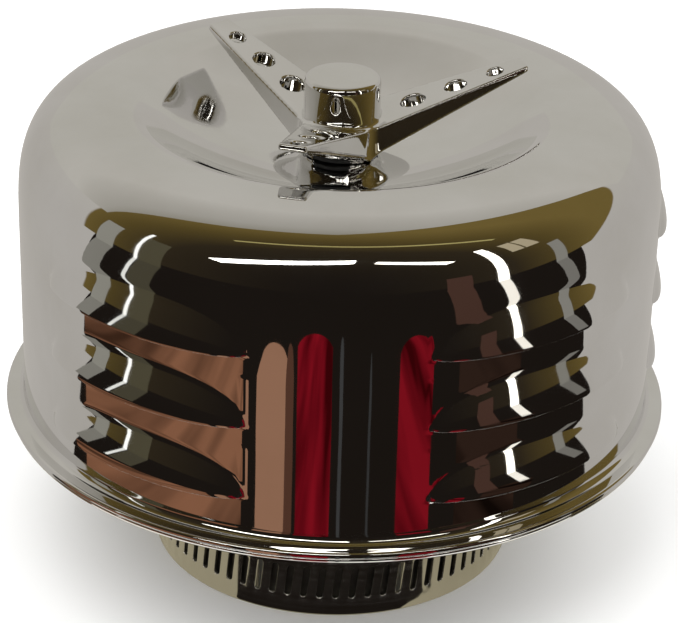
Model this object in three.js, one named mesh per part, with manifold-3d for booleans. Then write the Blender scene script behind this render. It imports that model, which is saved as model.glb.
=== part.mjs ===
// Louvred round air filter housing for a small engine's carburettor. Millimetres, +Z up.
// The origin is on the housing's axis, at the lower edge of the carburettor neck.
// The cover drops over a ring filter on a flat base pan, and a three-wing spinner nut on a
// central stud holds it down. A worm-drive clamp round the neck grips the carburettor.
import * as THREE from "three";
import { mergeVertices } from "three/addons/utils/BufferGeometryUtils.js";
import Module from "manifold-3d";

// ---- driving dimensions -------------------------------------------------------------------
const SEGMENTS = 48; // facets round the large turned pieces
const RING_SEGMENTS = 32; // facets round the filter's rings and the washers
const GAP = 0.3; // clearance between pieces that rest on each other
const SHEET = 0.9; // sheet steel of the cover
const PAN_SHEET = 1.0; // sheet steel of the base pan

const FLANGE_R = 64; // outer edge of the cover's flange
const RIM_Z = 30; // underside of the base pan's rim
const WALL_R = 60.5; // outside of the cover's upright wall
const SHOULDER_Z = RIM_Z + 39.7; // where the wall starts to turn in
const CREST_R = 41.3; // the highest ring of the cover
const CREST_Z = RIM_Z + 60.4;
const SHOULDER_POWER = 3.2; // superellipse exponent of the shoulder
const FLANGE_FILLET = 1.6;

const RECESS_Z = RIM_Z + 51.2; // floor of the central recess
const RECESS_ROLL = 7.5; // convex radius from the crest into the recess
const RECESS_BOWL = 50; // concave radius from the recess wall into its floor
const RECESS_SLOPE = THREE.MathUtils.degToRad(30);

const BANK_ANGLES = [-36.5, 38, 105, 178, -116]; // louvre banks, degrees from -Y towards +X
const LOUVRE_LIPS = [RIM_Z + 38.1, RIM_Z + 24.2, RIM_Z + 10.0]; // heights of the lower lips
const LOUVRE_HALF_ANGLE = 21.5; // degrees
const LOUVRE_HEIGHT = 8.1;
const LOUVRE_DEPTH = 2.4; // how far the lip stands out of the wall
const LOUVRE_INSET = 1.0; // how deep in the wall the bulge's own edge lies

const NECK_BORE_R = 33.35;
const NECK_R = 34.2;
const NECK_FLANGE_R = 40.2;
const PAN_FLOOR_Z = 33; // top of the base pan's floor
const NECK_FLANGE_Z = PAN_FLOOR_Z + GAP;
const NECK_FLANGE_TOP = NECK_FLANGE_Z + 0.9;
const RIVET_X = 37.2;

const STUD_R = 3.1;
const STUD_Z = [17, 92.5];
const BRIDGE_Z = 24.5; // underside of the stud bridge's middle
const BRIDGE_SHEET = 1.5;
const BRIDGE_HALF_WIDTH = 8;
const NUT_FLATS = 11.1;
const NUT_HEIGHT = 5.5;

const HUB_R = 7.2;
const HUB_BASE_R = 7.65;
const HUB_Z = [82.6, 96.5];
const WING_ANGLES = [14, 134, 256]; // degrees from +X towards +Y
const WING_R = [6.4, 35.2]; // from inside the hub to the tip
const WING_WIDTH = [12.4, 5.2];
const WING_TOP = [88.4, 96.9];
const WING_BOTTOM = [83.0, 95.6];
const WING_HOLES = [[13.6, 2.4], [21.8, 2.15], [29.4, 1.65]]; // distance from the axis, radius

const FILTER_Z = [PAN_FLOOR_Z + GAP, 87.4];
const SEAL_R = [40.6, 54.4];
const SEAL_HEIGHT = 5.8;
const PLEATS = 60;

const BAND_R = 34.5; // inside of the clamp band
const BAND_SHEET = 0.7;
const BAND_Z = [0.3, 14.6];
const BAND_SLOTS = 72;
const SCREW_Y = 41.3; // the clamp screw's axis runs along X behind the neck
const SCREW_Z = (BAND_Z[0] + BAND_Z[1]) / 2;
const HOUSING_HALF_LENGTH = 8;

// ---- solids -------------------------------------------------------------------------------
const wasm = await Module();
wasm.setup();

// A closed three.js geometry as a manifold-3d solid, turned the right way out.
function solid(geometry) {
  const bare = geometry.clone();
  bare.deleteAttribute("normal");
  bare.deleteAttribute("uv");
  const merged = mergeVertices(bare, 1e-4);
  const vertProperties = new Float32Array(merged.attributes.position.array);
  const triVerts = new Uint32Array(merged.index.array);
  const build = () => new wasm.Manifold(new wasm.Mesh({ numProp: 3, vertProperties, triVerts }));
  const made = build();
  if (made.volume() > 0) return made;
  for (let i = 0; i < triVerts.length; i += 3) {
    [triVerts[i + 1], triVerts[i + 2]] = [triVerts[i + 2], triVerts[i + 1]];
  }
  return build();
}

function geometryOf(manifold) {
  const mesh = manifold.getMesh();
  const geometry = new THREE.BufferGeometry();
  geometry.setAttribute("position", new THREE.BufferAttribute(mesh.vertProperties, 3));
  geometry.setIndex(new THREE.BufferAttribute(mesh.triVerts, 1));
  geometry.computeVertexNormals();
  return geometry;
}

const join = (solids) => solids.reduce((sum, next) => sum.add(next));
const cut = (body, tools) => tools.reduce((left, tool) => left.subtract(tool), body);

// A profile of [radius, height] points turned round the Z axis, from -Y.
function turned(profile, segments = SEGMENTS) {
  const points = profile.map(([r, z]) => new THREE.Vector2(r, z));
  return solid(new THREE.LatheGeometry(points, segments).rotateX(Math.PI / 2));
}

// A turned piece whose profile closes on itself clear of the axis.
const turnedRing = (profile, segments) => turned([...profile, profile[0]], segments);

// A flat shape in the XY plane, from one height to another.
function plate(shape, bottom, top, curveSegments = 12) {
  const geometry = new THREE.ExtrudeGeometry(shape, {
    depth: top - bottom,
    bevelEnabled: false,
    curveSegments,
  });
  return solid(geometry.translate(0, 0, bottom));
}

function rod(radius, bottom, top, x = 0, y = 0, segments = 24) {
  const geometry = new THREE.CylinderGeometry(radius, radius, top - bottom, segments);
  return solid(geometry.rotateX(Math.PI / 2).translate(x, y, (top + bottom) / 2));
}

const polar = (radius, angle) => [radius * Math.cos(angle), radius * Math.sin(angle)];

// Points of a circular arc in a [radius, height] profile, angles in degrees.
function arc(centreR, centreZ, radius, from, to, steps) {
  const points = [];
  for (let i = 0; i <= steps; i++) {
    const [dr, dz] = polar(radius, THREE.MathUtils.degToRad(from + ((to - from) * i) / steps));
    points.push([centreR + dr, centreZ + dz]);
  }
  return points;
}

// A profile moved sideways by a sheet's thickness, to the right of its direction of travel.
function offset(profile, distance) {
  return profile.map(([r, z], i) => {
    const [r0, z0] = profile[Math.max(i - 1, 0)];
    const [r1, z1] = profile[Math.min(i + 1, profile.length - 1)];
    const length = Math.hypot(r1 - r0, z1 - z0);
    return [r + (distance * (z1 - z0)) / length, z - (distance * (r1 - r0)) / length];
  });
}

// ---- cover --------------------------------------------------------------------------------
// The outside of the sheet from the foot of the wall to the edge of the recess floor.
function coverProfile() {
  const foot = arc(WALL_R + FLANGE_FILLET, RIM_Z + 2.3 + FLANGE_FILLET, FLANGE_FILLET, 270, 180, 2);
  const shoulder = [];
  const steps = 7;
  for (let i = 0; i <= steps; i++) {
    const t = (i / steps) * (Math.PI / 2);
    const across = Math.abs(Math.cos(t)) ** (2 / SHOULDER_POWER);
    const up = Math.sin(t) ** (2 / SHOULDER_POWER);
    shoulder.push([
      CREST_R + (WALL_R - CREST_R) * (i === steps ? 0 : across),
      SHOULDER_Z + (CREST_Z - SHOULDER_Z) * up,
    ]);
  }
  const slope = THREE.MathUtils.radToDeg(RECESS_SLOPE);
  const roll = arc(CREST_R, CREST_Z - RECESS_ROLL, RECESS_ROLL, 90, 90 + slope, 3).slice(1);
  const drop = roll.at(-1)[1] - RECESS_Z - RECESS_BOWL * (1 - Math.cos(RECESS_SLOPE));
  const bowlTopR = roll.at(-1)[0] - drop / Math.tan(RECESS_SLOPE);
  const bowlR = bowlTopR - RECESS_BOWL * Math.sin(RECESS_SLOPE);
  const bowl = arc(bowlR, RECESS_Z + RECESS_BOWL, RECESS_BOWL, slope - 90, -90, 3);
  return [...foot, ...shoulder, ...roll, ...bowl];
}

// One louvre's bulge: an awning wrapped on the wall, sloping out to its lower lip and closing at
// both ends. A positive inset makes the hollow behind the sheet, which runs out below the lip.
function louvre(bankAngle, lipZ, inset) {
  const geometry = new THREE.SphereGeometry(1, 14, 6);
  const position = geometry.attributes.position;
  const halfAngle = THREE.MathUtils.degToRad(LOUVRE_HALF_ANGLE) - inset / WALL_R;
  const height = LOUVRE_HEIGHT - inset;
  const lip = lipZ - (inset > 0 ? GAP : 0);
  for (let i = 0; i < position.count; i++) {
    const x = position.getX(i);
    const along = Math.sign(x) * Math.abs(x) ** 0.75;
    const up = Math.max(position.getY(i), 0);
    const outline = Math.sqrt(Math.max(1 - x * x, 0));
    const slope = 1 - Math.min(up / outline, 1);
    const sloping = up > 1e-6 && position.getZ(i) > 1e-6;
    const out = (sloping ? outline * slope : position.getZ(i)) * (LOUVRE_DEPTH + LOUVRE_INSET);
    const angle = THREE.MathUtils.degToRad(bankAngle) + along * halfAngle;
    const radius = WALL_R - LOUVRE_INSET - inset + out;
    position.setXYZ(i, radius * Math.sin(angle), -radius * Math.cos(angle), lip + up * height);
  }
  return solid(geometry);
}

function coverShell() {
  const profile = coverProfile();
  const outside = turned([
    [0, RIM_Z + PAN_SHEET + GAP],
    [FLANGE_R, RIM_Z + PAN_SHEET + GAP],
    [FLANGE_R, RIM_Z + 2.3],
    ...profile,
    [0, RECESS_Z],
  ]);
  const inner = offset(profile, -SHEET);
  const inside = turned([[0, RIM_Z], [inner[0][0], RIM_Z], ...inner, [0, RECESS_Z - SHEET]]);
  const bulges = [];
  const hollows = [];
  for (const bank of BANK_ANGLES) {
    for (const lip of LOUVRE_LIPS) {
      bulges.push(louvre(bank, lip, 0));
      hollows.push(louvre(bank, lip, SHEET));
    }
  }
  const studHole = rod(STUD_R + 0.5, RECESS_Z - 5, RECESS_Z + 5);
  return cut(join([outside, ...bulges]), [inside, ...hollows, studHole]);
}

// ---- base ---------------------------------------------------------------------------------
function rivetHoles() {
  return [-RIVET_X, RIVET_X].map((x) => rod(1.7, 20, 45, x, 0, 12));
}

// A flat pan with a raised floor that centres the cover, and a hemmed rim under its flange.
function basePan() {
  const under = PAN_FLOOR_Z - PAN_SHEET;
  const step = WALL_R - SHEET - GAP;
  const pan = turnedRing([
    [NECK_R + 0.4, under],
    [step - 1.4, under],
    [step - PAN_SHEET, under - 0.5],
    [step - PAN_SHEET, RIM_Z],
    [FLANGE_R - 1.4, RIM_Z],
    [FLANGE_R - 0.9, RIM_Z - 0.1],
    [FLANGE_R - 0.4, RIM_Z + 0.3],
    [FLANGE_R - 0.4, RIM_Z + PAN_SHEET],
    [step, RIM_Z + PAN_SHEET],
    [step, PAN_FLOOR_Z - 0.6],
    [step - 0.6, PAN_FLOOR_Z],
    [NECK_R + 0.4, PAN_FLOOR_Z],
  ]);
  return cut(pan, rivetHoles());
}

// The neck has eight slits up from its lower edge, so that the clamp can close it.
function neckTube() {
  const tube = turnedRing([
    [NECK_BORE_R, 0],
    [NECK_R, 0],
    [NECK_R, NECK_FLANGE_Z],
    [NECK_FLANGE_R, NECK_FLANGE_Z],
    [NECK_FLANGE_R, NECK_FLANGE_TOP],
    [NECK_R + 0.8, NECK_FLANGE_TOP],
    [NECK_BORE_R, NECK_FLANGE_TOP - 1.2],
  ]);
  const slits = [];
  for (let i = 0; i < 4; i++) {
    const slit = new THREE.BoxGeometry(2.2 * NECK_R, 1.5, 30).rotateZ(Math.PI / 8 + (i * Math.PI) / 4);
    slits.push(solid(slit));
  }
  return cut(tube, [...slits, ...rivetHoles()]);
}

// A strap across the neck, cranked down to the level where the stud is fixed.
function studBridge() {
  const foot = NECK_FLANGE_TOP + GAP;
  const half = [
    [39.2, foot], [39.2, foot + BRIDGE_SHEET], [31.2, foot + BRIDGE_SHEET],
    [25.4, BRIDGE_Z + BRIDGE_SHEET],
  ];
  const below = [[26.2, BRIDGE_Z], [32, foot]];
  const outline = [
    ...half,
    ...half.map(([x, z]) => [-x, z]).reverse(),
    ...below.map(([x, z]) => [-x, z]).reverse(),
    ...below,
  ];
  const shape = new THREE.Shape(outline.map(([x, z]) => new THREE.Vector2(x, z)));
  const geometry = new THREE.ExtrudeGeometry(shape, {
    depth: 2 * BRIDGE_HALF_WIDTH,
    bevelEnabled: false,
  });
  geometry.rotateX(Math.PI / 2).translate(0, BRIDGE_HALF_WIDTH, 0);
  return cut(solid(geometry), [...rivetHoles(), rod(STUD_R + GAP, 10, 40)]);
}

function bridgeRivet(side) {
  const head = NECK_FLANGE_TOP + GAP + BRIDGE_SHEET + GAP;
  const tail = PAN_FLOOR_Z - PAN_SHEET - GAP;
  const rivet = turned([
    [0, tail - 1.1], [1.9, tail - 1.1], [2.6, tail - 0.5], [2.6, tail], [1.4, tail],
    [1.4, head], [2.9, head], [2.7, head + 0.8], [1.6, head + 1.5], [0, head + 1.6],
  ], 16);
  return rivet.translate([side * RIVET_X, 0, 0]);
}

function centreStud() {
  const [bottom, top] = STUD_Z;
  return turned([
    [0, bottom], [STUD_R - 0.7, bottom], [STUD_R, bottom + 0.7],
    [STUD_R, top - 0.7], [STUD_R - 0.7, top], [0, top],
  ], 16);
}

function hexNut(bottom) {
  const corner = NUT_FLATS / Math.sqrt(3);
  const shape = new THREE.Shape();
  for (let i = 0; i < 6; i++) {
    const [x, y] = polar(corner, (i * Math.PI) / 3);
    if (i === 0) shape.moveTo(x, y);
    else shape.lineTo(x, y);
  }
  shape.holes.push(new THREE.Path().absarc(0, 0, STUD_R + GAP, 0, 2 * Math.PI, true));
  return plate(shape, bottom, bottom + NUT_HEIGHT, 8);
}

// A split spring washer.
function lockWasher(bottom) {
  const shape = new THREE.Shape();
  const end = 2 * Math.PI - 0.15;
  shape.absarc(0, 0, 5.6, 0.15, end, false);
  shape.absarc(0, 0, STUD_R + 0.4, end, 0.15, true);
  return plate(shape, bottom, bottom + 1.2, 10);
}

// ---- filter element -----------------------------------------------------------------------
const mediaZ = [FILTER_Z[0] + SEAL_HEIGHT + GAP, FILTER_Z[1] - SEAL_HEIGHT - GAP];

// Pleated paper: one folded sheet that runs in and out all the way round.
function filterMedia() {
  const fold = (outer, inner) => {
    const points = [];
    for (let i = 0; i < 2 * PLEATS; i++) {
      points.push(new THREE.Vector2(...polar(i % 2 ? inner : outer, (i * Math.PI) / PLEATS)));
    }
    return points;
  };
  const shape = new THREE.Shape(fold(51.9, 44.6));
  shape.holes.push(new THREE.Path(fold(50.2, 42.9)));
  return plate(shape, mediaZ[0], mediaZ[1]);
}

function ring(inner, outer, bottom, top) {
  const profile = [[inner, bottom], [outer, bottom], [outer, top], [inner, top]];
  return turnedRing(profile, RING_SEGMENTS);
}

// The moulded end seals have rounded outer corners.
function endSeal(bottom) {
  const [inner, outer] = SEAL_R;
  const top = bottom + SEAL_HEIGHT;
  const profile = [
    [inner, bottom], [outer - 1.2, bottom], [outer, bottom + 1.2], [outer, top - 1.2],
    [outer - 1.2, top], [inner, top],
  ];
  return turnedRing(profile, RING_SEGMENTS);
}

// ---- spinner nut --------------------------------------------------------------------------
// A wing is a wedge that narrows and thins towards its tip.
function wing(angle) {
  const body = new THREE.BoxGeometry(1, 1, 1);
  const position = body.attributes.position;
  for (let i = 0; i < position.count; i++) {
    const end = position.getX(i) > 0 ? 1 : 0;
    const z = position.getZ(i) > 0 ? WING_TOP[end] : WING_BOTTOM[end];
    position.setXYZ(i, WING_R[end], Math.sign(position.getY(i)) * (WING_WIDTH[end] / 2), z);
  }
  const rise = Math.atan2(WING_TOP[1] - WING_TOP[0], WING_R[1] - WING_R[0]);
  const holes = WING_HOLES.map(([distance, radius]) => {
    const drill = new THREE.CylinderGeometry(radius, radius, 16, 12).rotateX(Math.PI / 2);
    const height = WING_TOP[0] + (distance - WING_R[0]) * Math.tan(rise);
    return solid(drill.rotateY(-rise).translate(distance, 0, height));
  });
  return cut(solid(body), holes).rotate([0, 0, angle]);
}

function spinnerNut() {
  const [bottom, top] = HUB_Z;
  const hub = turned([
    [0, bottom], [HUB_BASE_R, bottom], [HUB_BASE_R, bottom + 0.8], [HUB_R + 0.1, bottom + 4],
    [HUB_R, top - 1], [HUB_R - 0.3, top - 0.3], [HUB_R - 1, top], [0, top],
  ], 32);
  const tappedHole = rod(STUD_R + 0.35, bottom - 1, top - 2.8, 0, 0, 16);
  return cut(join([hub, ...WING_ANGLES.map(wing)]), [tappedHole]);
}

const sealWasher = () => ring(STUD_R + 0.4, 7, RECESS_Z + GAP, HUB_Z[0] - GAP);

// ---- hose clamp ---------------------------------------------------------------------------
// The strip starts under the housing, goes once round, and its tail laps over the start.
function clampBand() {
  const from = THREE.MathUtils.degToRad(70);
  const turn = THREE.MathUtils.degToRad(405);
  const steps = 54;
  const lap = (t) => THREE.MathUtils.smoothstep(t, 0.72, 0.86) * (BAND_SHEET + GAP);
  const inner = [];
  const outer = [];
  for (let i = 0; i <= steps; i++) {
    const t = i / steps;
    const radius = BAND_R + lap(t);
    inner.push(new THREE.Vector2(...polar(radius, from + t * turn)));
    outer.push(new THREE.Vector2(...polar(radius + BAND_SHEET, from + t * turn)));
  }
  const strip = plate(new THREE.Shape([...outer, ...inner.reverse()]), BAND_Z[0], BAND_Z[1]);
  const slots = [];
  for (let i = 0; i < BAND_SLOTS; i++) {
    const slot = new THREE.BoxGeometry(1.2, 4, 6.7).rotateY(THREE.MathUtils.degToRad(6));
    slot.translate(0, -BAND_R - 0.8, SCREW_Z).rotateZ((i + 0.5) * ((2 * Math.PI) / BAND_SLOTS));
    slots.push(solid(slot));
  }
  return cut(strip, slots);
}

// An arch over the screw, with two feet on the band.
function clampHousing() {
  const footY = BAND_R + 2 * BAND_SHEET + 2 * GAP + 0.2;
  const rise = SCREW_Y - footY;
  const shape = new THREE.Shape();
  shape.moveTo(-7, 0);
  shape.lineTo(-4.7, 0);
  shape.lineTo(-4.7, rise);
  shape.absarc(0, rise, 4.7, Math.PI, 0, true);
  shape.lineTo(4.7, 0);
  shape.lineTo(7, 0);
  shape.lineTo(7, 0.9);
  shape.lineTo(5.7, 0.9);
  shape.lineTo(5.7, rise);
  shape.absarc(0, rise, 5.7, 0, Math.PI, false);
  shape.lineTo(-5.7, 0.9);
  shape.lineTo(-7, 0.9);
  const geometry = new THREE.ExtrudeGeometry(shape, {
    depth: 2 * HOUSING_HALF_LENGTH,
    bevelEnabled: false,
    curveSegments: 8,
  });
  geometry.translate(0, 0, -HOUSING_HALF_LENGTH).rotateY(Math.PI / 2);
  return solid(geometry.translate(0, footY, SCREW_Z));
}

function clampScrew() {
  const thread = new THREE.CylinderGeometry(4.1, 4.1, 19, 16).rotateZ(Math.PI / 2);
  const head = new THREE.CylinderGeometry(4.6, 4.6, 5, 6).rotateZ(Math.PI / 2).translate(11.8, 0, 0);
  const slot = new THREE.BoxGeometry(2.4, 1.2, 12).translate(13.4, 0, 0);
  const screw = cut(join([solid(thread), solid(head)]), [solid(slot)]);
  return screw.translate([0, SCREW_Y, SCREW_Z]);
}

// ---- assembly -----------------------------------------------------------------------------
const finish = (color, roughness, metalness) => ({ color, roughness, metalness });
const CHROME = finish(0xd9dadb, 0.06, 1);
const ZINC = finish(0xb4b6b4, 0.35, 1);
const RUBBER = finish(0x1b1b1b, 0.8, 0);
const PAPER = finish(0xe6c98a, 0.9, 0);
const MESH = finish(0x9fa19f, 0.45, 1);
const URETHANE = finish(0x9c2f22, 0.6, 0);

function part(name, body, look) {
  const mesh = new THREE.Mesh(geometryOf(body), new THREE.MeshStandardMaterial(look));
  mesh.name = name;
  return mesh;
}

function groupOf(...parts) {
  const group = new THREE.Group();
  group.add(...parts);
  return group;
}

const washerZ = BRIDGE_Z + BRIDGE_SHEET + GAP;
const base = groupOf(
  part("base_pan", basePan(), CHROME),
  part("neck_tube", neckTube(), CHROME),
  part("stud_bridge", studBridge(), ZINC),
  part("bridge_rivet_left", bridgeRivet(-1), ZINC),
  part("bridge_rivet_right", bridgeRivet(1), ZINC),
  part("centre_stud", centreStud(), ZINC),
  part("stud_lock_washer", lockWasher(washerZ), ZINC),
  part("stud_nut_upper", hexNut(washerZ + 1.2 + GAP), ZINC),
  part("stud_nut_lower", hexNut(BRIDGE_Z - GAP - NUT_HEIGHT), ZINC),
);
const clamp = groupOf(
  part("clamp_band", clampBand(), CHROME),
  part("clamp_housing", clampHousing(), CHROME),
  part("clamp_screw", clampScrew(), ZINC),
);
const filter = groupOf(
  part("filter_media", filterMedia(), PAPER),
  part("filter_inner_screen", ring(41.4, 42.2, ...mediaZ), MESH),
  part("filter_outer_screen", ring(52.6, 53.4, ...mediaZ), MESH),
  part("filter_bottom_seal", endSeal(FILTER_Z[0]), URETHANE),
  part("filter_top_seal", endSeal(FILTER_Z[1] - SEAL_HEIGHT), URETHANE),
);
const cover = groupOf(
  part("cover_shell", coverShell(), CHROME),
  part("seal_washer", sealWasher(), RUBBER),
  part("spinner_nut", spinnerNut(), CHROME),
);

export default groupOf(base, clamp, filter, cover);
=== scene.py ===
"""Looks of a louvred chrome air filter housing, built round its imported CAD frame.

The sheets, castings, threads and gaskets are rebuilt here as fine meshes of the CAD's own size,
but for a crest that stands CREST_RISE higher. The bridge and the lock washer keep their CAD
meshes. The object's sizes are in millimetres until mesh_object() turns them into metres, and
the studio's are in metres.
"""
import math

import bmesh
import bpy
import numpy as np
from mathutils import Matrix, Vector

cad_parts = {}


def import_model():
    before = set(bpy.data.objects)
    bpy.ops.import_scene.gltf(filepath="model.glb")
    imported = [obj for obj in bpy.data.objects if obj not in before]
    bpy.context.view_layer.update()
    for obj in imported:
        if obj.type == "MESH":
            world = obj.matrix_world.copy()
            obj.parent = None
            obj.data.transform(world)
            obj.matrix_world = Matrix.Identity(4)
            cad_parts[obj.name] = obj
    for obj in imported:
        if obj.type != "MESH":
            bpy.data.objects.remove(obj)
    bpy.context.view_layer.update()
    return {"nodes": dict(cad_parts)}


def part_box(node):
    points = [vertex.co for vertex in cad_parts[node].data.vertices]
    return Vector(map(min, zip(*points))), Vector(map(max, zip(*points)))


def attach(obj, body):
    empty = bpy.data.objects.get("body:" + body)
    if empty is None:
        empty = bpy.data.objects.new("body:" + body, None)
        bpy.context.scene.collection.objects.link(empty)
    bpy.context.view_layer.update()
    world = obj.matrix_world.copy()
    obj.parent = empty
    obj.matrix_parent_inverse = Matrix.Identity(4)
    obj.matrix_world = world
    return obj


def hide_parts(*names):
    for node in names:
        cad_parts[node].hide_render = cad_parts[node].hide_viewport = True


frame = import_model()

MM = 0.001


def node_box(node):
    """A CAD node's lowest and highest corners in millimetres."""
    low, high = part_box(node)
    return np.array(low) / MM, np.array(high) / MM


# ---- driving sizes, from the frame where the frame has them ------------------------------------
cover_low, cover_high = node_box("cover_shell")
pan_low, pan_high = node_box("base_pan")
neck_low, neck_high = node_box("neck_tube")
hub_low, hub_high = node_box("spinner_nut")
stud_low, stud_high = node_box("centre_stud")
band_low, band_high = node_box("clamp_band")
media_low, media_high = node_box("filter_media")

SHEET = 0.9
COVER_COLUMNS = 600
FLANGE_R = cover_high[0]
FLANGE_TOP = cover_low[2] + 1.0
CREST_RISE = 0.8
CREST_Z = cover_high[2] + CREST_RISE
WALL_R = FLANGE_R - 3.5
SHOULDER_Z = FLANGE_TOP + 37.4
SHOULDER_POWER = 3.2
CREST_R = 41.3
FLANGE_FILLET = 1.6
RECESS_Z = CREST_Z - 10.0
RECESS_ROLL = 7.5
RECESS_BOWL = 50.0
RECESS_SLOPE = math.radians(30)

BANK_ANGLES = (-36.5, 38, 105, 178, -116)
LOUVRE_LIPS = tuple(FLANGE_TOP + height for height in (35.8, 21.9, 7.7))
LOUVRE_HALF_ANGLE = 21.5
LOUVRE_HEIGHT = 8.1
LOUVRE_DEPTH = 2.4
LOUVRE_ROUNDING = 1.6

HUB_R = 7.2
HUB_BASE_R = 7.65
HUB_BOTTOM = RECESS_Z + 1.4
HUB_TOP = HUB_BOTTOM + 13.9
WING_ANGLES = (14, 134, 256)
WING_TIP_R = 35.2
WING_ROOT_R = 6.4
WING_ROOT_HALF_WIDTH = 6.2
WING_TIP_HALF_WIDTH = 2.6
WING_HOLES = ((13.6, 2.4), (21.8, 2.15), (29.4, 1.65))

STUD_R = 3.1
THREAD_PITCH = 1.27
THREAD_DEPTH = 0.62
NECK_BORE_R = 33.35
NECK_SHEET = 0.85
NECK_BEND_R = 1.8
NECK_SLIT_TOP = 14.6
BAND_R = 34.5
BAND_SHEET = 0.7
BAND_SLOTS = 72
PLEATS = 60
PLEAT_MIDDLE_R = 47.4
PLEAT_DEPTH = 8.4
PAPER = 0.45


# ---- mesh tools --------------------------------------------------------------------------------
def mesh_object(name, points, faces):
    """A new object from points in millimetres."""
    mesh = bpy.data.meshes.new(name)
    mesh.from_pydata((np.asarray(points, float) * MM).tolist(), [], [list(f) for f in faces])
    mesh.validate()
    obj = bpy.data.objects.new(name, mesh)
    bpy.context.scene.collection.objects.link(obj)
    return obj


def apply_modifiers(obj):
    depsgraph = bpy.context.evaluated_depsgraph_get()
    mesh = bpy.data.meshes.new_from_object(obj.evaluated_get(depsgraph))
    old = obj.data
    obj.modifiers.clear()
    obj.data = mesh
    bpy.data.meshes.remove(old)


def clean(obj, sharp_degrees=40, recalculate=True):
    """Merges doubled points, turns the faces outwards, and shades smooth except at sharp edges."""
    bm = bmesh.new()
    bm.from_mesh(obj.data)
    bmesh.ops.remove_doubles(bm, verts=bm.verts, dist=2e-6)
    bmesh.ops.dissolve_degenerate(bm, edges=bm.edges, dist=1e-7)
    if recalculate:
        bmesh.ops.recalc_face_normals(bm, faces=bm.faces)
    limit = math.radians(sharp_degrees)
    for face in bm.faces:
        face.smooth = True
    for edge in bm.edges:
        if len(edge.link_faces) == 2:
            edge.smooth = edge.calc_face_angle(0) < limit
    bm.to_mesh(obj.data)
    bm.free()


def add_solidify(obj, thickness, offset=-1.0):
    modifier = obj.modifiers.new("sheet", "SOLIDIFY")
    modifier.thickness = thickness * MM
    modifier.offset = offset
    modifier.use_even_offset = True
    modifier.use_rim = True


def add_bevel(obj, width, segments=2, angle=35):
    modifier = obj.modifiers.new("edge", "BEVEL")
    modifier.width = width * MM
    modifier.segments = segments
    modifier.limit_method = "ANGLE"
    modifier.angle_limit = math.radians(angle)


def arc(centre_r, centre_z, radius, start, end, steps):
    """Points of an arc in a [radius, height] profile, angles in degrees."""
    angles = np.radians(np.linspace(start, end, steps + 1))
    return np.stack([centre_r + radius * np.cos(angles), centre_z + radius * np.sin(angles)], -1)


def revolve(name, profile, columns=192, closed=True):
    """A [radius, height] profile turned round Z: a closed loop, or a line that ends on the axis."""
    profile = np.asarray(profile, float)
    rows = len(profile)
    angles = np.linspace(0, 2 * np.pi, columns, endpoint=False)
    points = np.empty((columns, rows, 3))
    points[..., 0] = np.outer(np.cos(angles), profile[:, 0])
    points[..., 1] = np.outer(np.sin(angles), profile[:, 0])
    points[..., 2] = profile[:, 1]
    faces = []
    for i in range(columns):
        k = (i + 1) % columns
        for j in range(rows if closed else rows - 1):
            n = (j + 1) % rows
            faces.append((i * rows + j, k * rows + j, k * rows + n, i * rows + n))
    obj = mesh_object(name, points.reshape(-1, 3), faces)
    clean(obj)
    return obj


def rounded(corners, radius=0.3, steps=3):
    """A closed profile with each corner rounded by a quadratic curve."""
    corners = np.asarray(corners, float)
    out = []
    for i, corner in enumerate(corners):
        before = corners[i - 1] - corner
        after = corners[(i + 1) % len(corners)] - corner
        reach = min(radius, 0.45 * np.linalg.norm(before), 0.45 * np.linalg.norm(after))
        start = corner + before / np.linalg.norm(before) * reach
        end = corner + after / np.linalg.norm(after) * reach
        for t in np.linspace(0, 1, steps + 1):
            out.append((1 - t) ** 2 * start + 2 * t * (1 - t) * corner + t * t * end)
    return np.array(out)


def shell_of_revolution(
    name, profile, thickness, columns, displace=None, gaps=(), skip=None, lip=0, side=-1.0
):
    """A thin sheet turned round Z. displace moves the points, gaps are the rows after which the
    sheet is slit, skip(angle, height) leaves a face out, and lip rounds the cut edges. side is 1
    where the sheet's thickness goes along the faces' normals, and -1 where it goes against."""
    profile = np.asarray(profile, float)
    rows = len(profile)
    angles = np.linspace(-np.pi, np.pi, columns, endpoint=False)
    radius = np.repeat(profile[None, :, 0], columns, 0)
    height = np.repeat(profile[None, :, 1], columns, 0)
    if displace:
        radius, height = displace(angles, radius, height)
    points = np.stack(
        [radius * np.sin(angles)[:, None], -radius * np.cos(angles)[:, None], height], -1
    )
    faces = []
    for i in range(columns):
        k = (i + 1) % columns
        middle = angles[i] + np.pi / columns
        for j in range(rows - 1):
            middle_height = (profile[j, 1] + profile[j + 1, 1]) / 2
            if j in gaps or (skip and skip(middle, middle_height)):
                continue
            faces.append((i * rows + j, k * rows + j, k * rows + j + 1, i * rows + j + 1))
    obj = mesh_object(name, points.reshape(-1, 3), faces)
    clean(obj, recalculate=False)
    add_solidify(obj, thickness, side)
    if lip:
        add_bevel(obj, lip, 3, 55)
    apply_modifiers(obj)
    clean(obj, sharp_degrees=50)
    return obj


def smooth_max(a, b, k):
    h = np.maximum(k - np.abs(a - b), 0) / k
    return np.maximum(a, b) + h * h * k / 4


def smooth_min(a, b, k):
    return -smooth_max(-a, -b, k)


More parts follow.
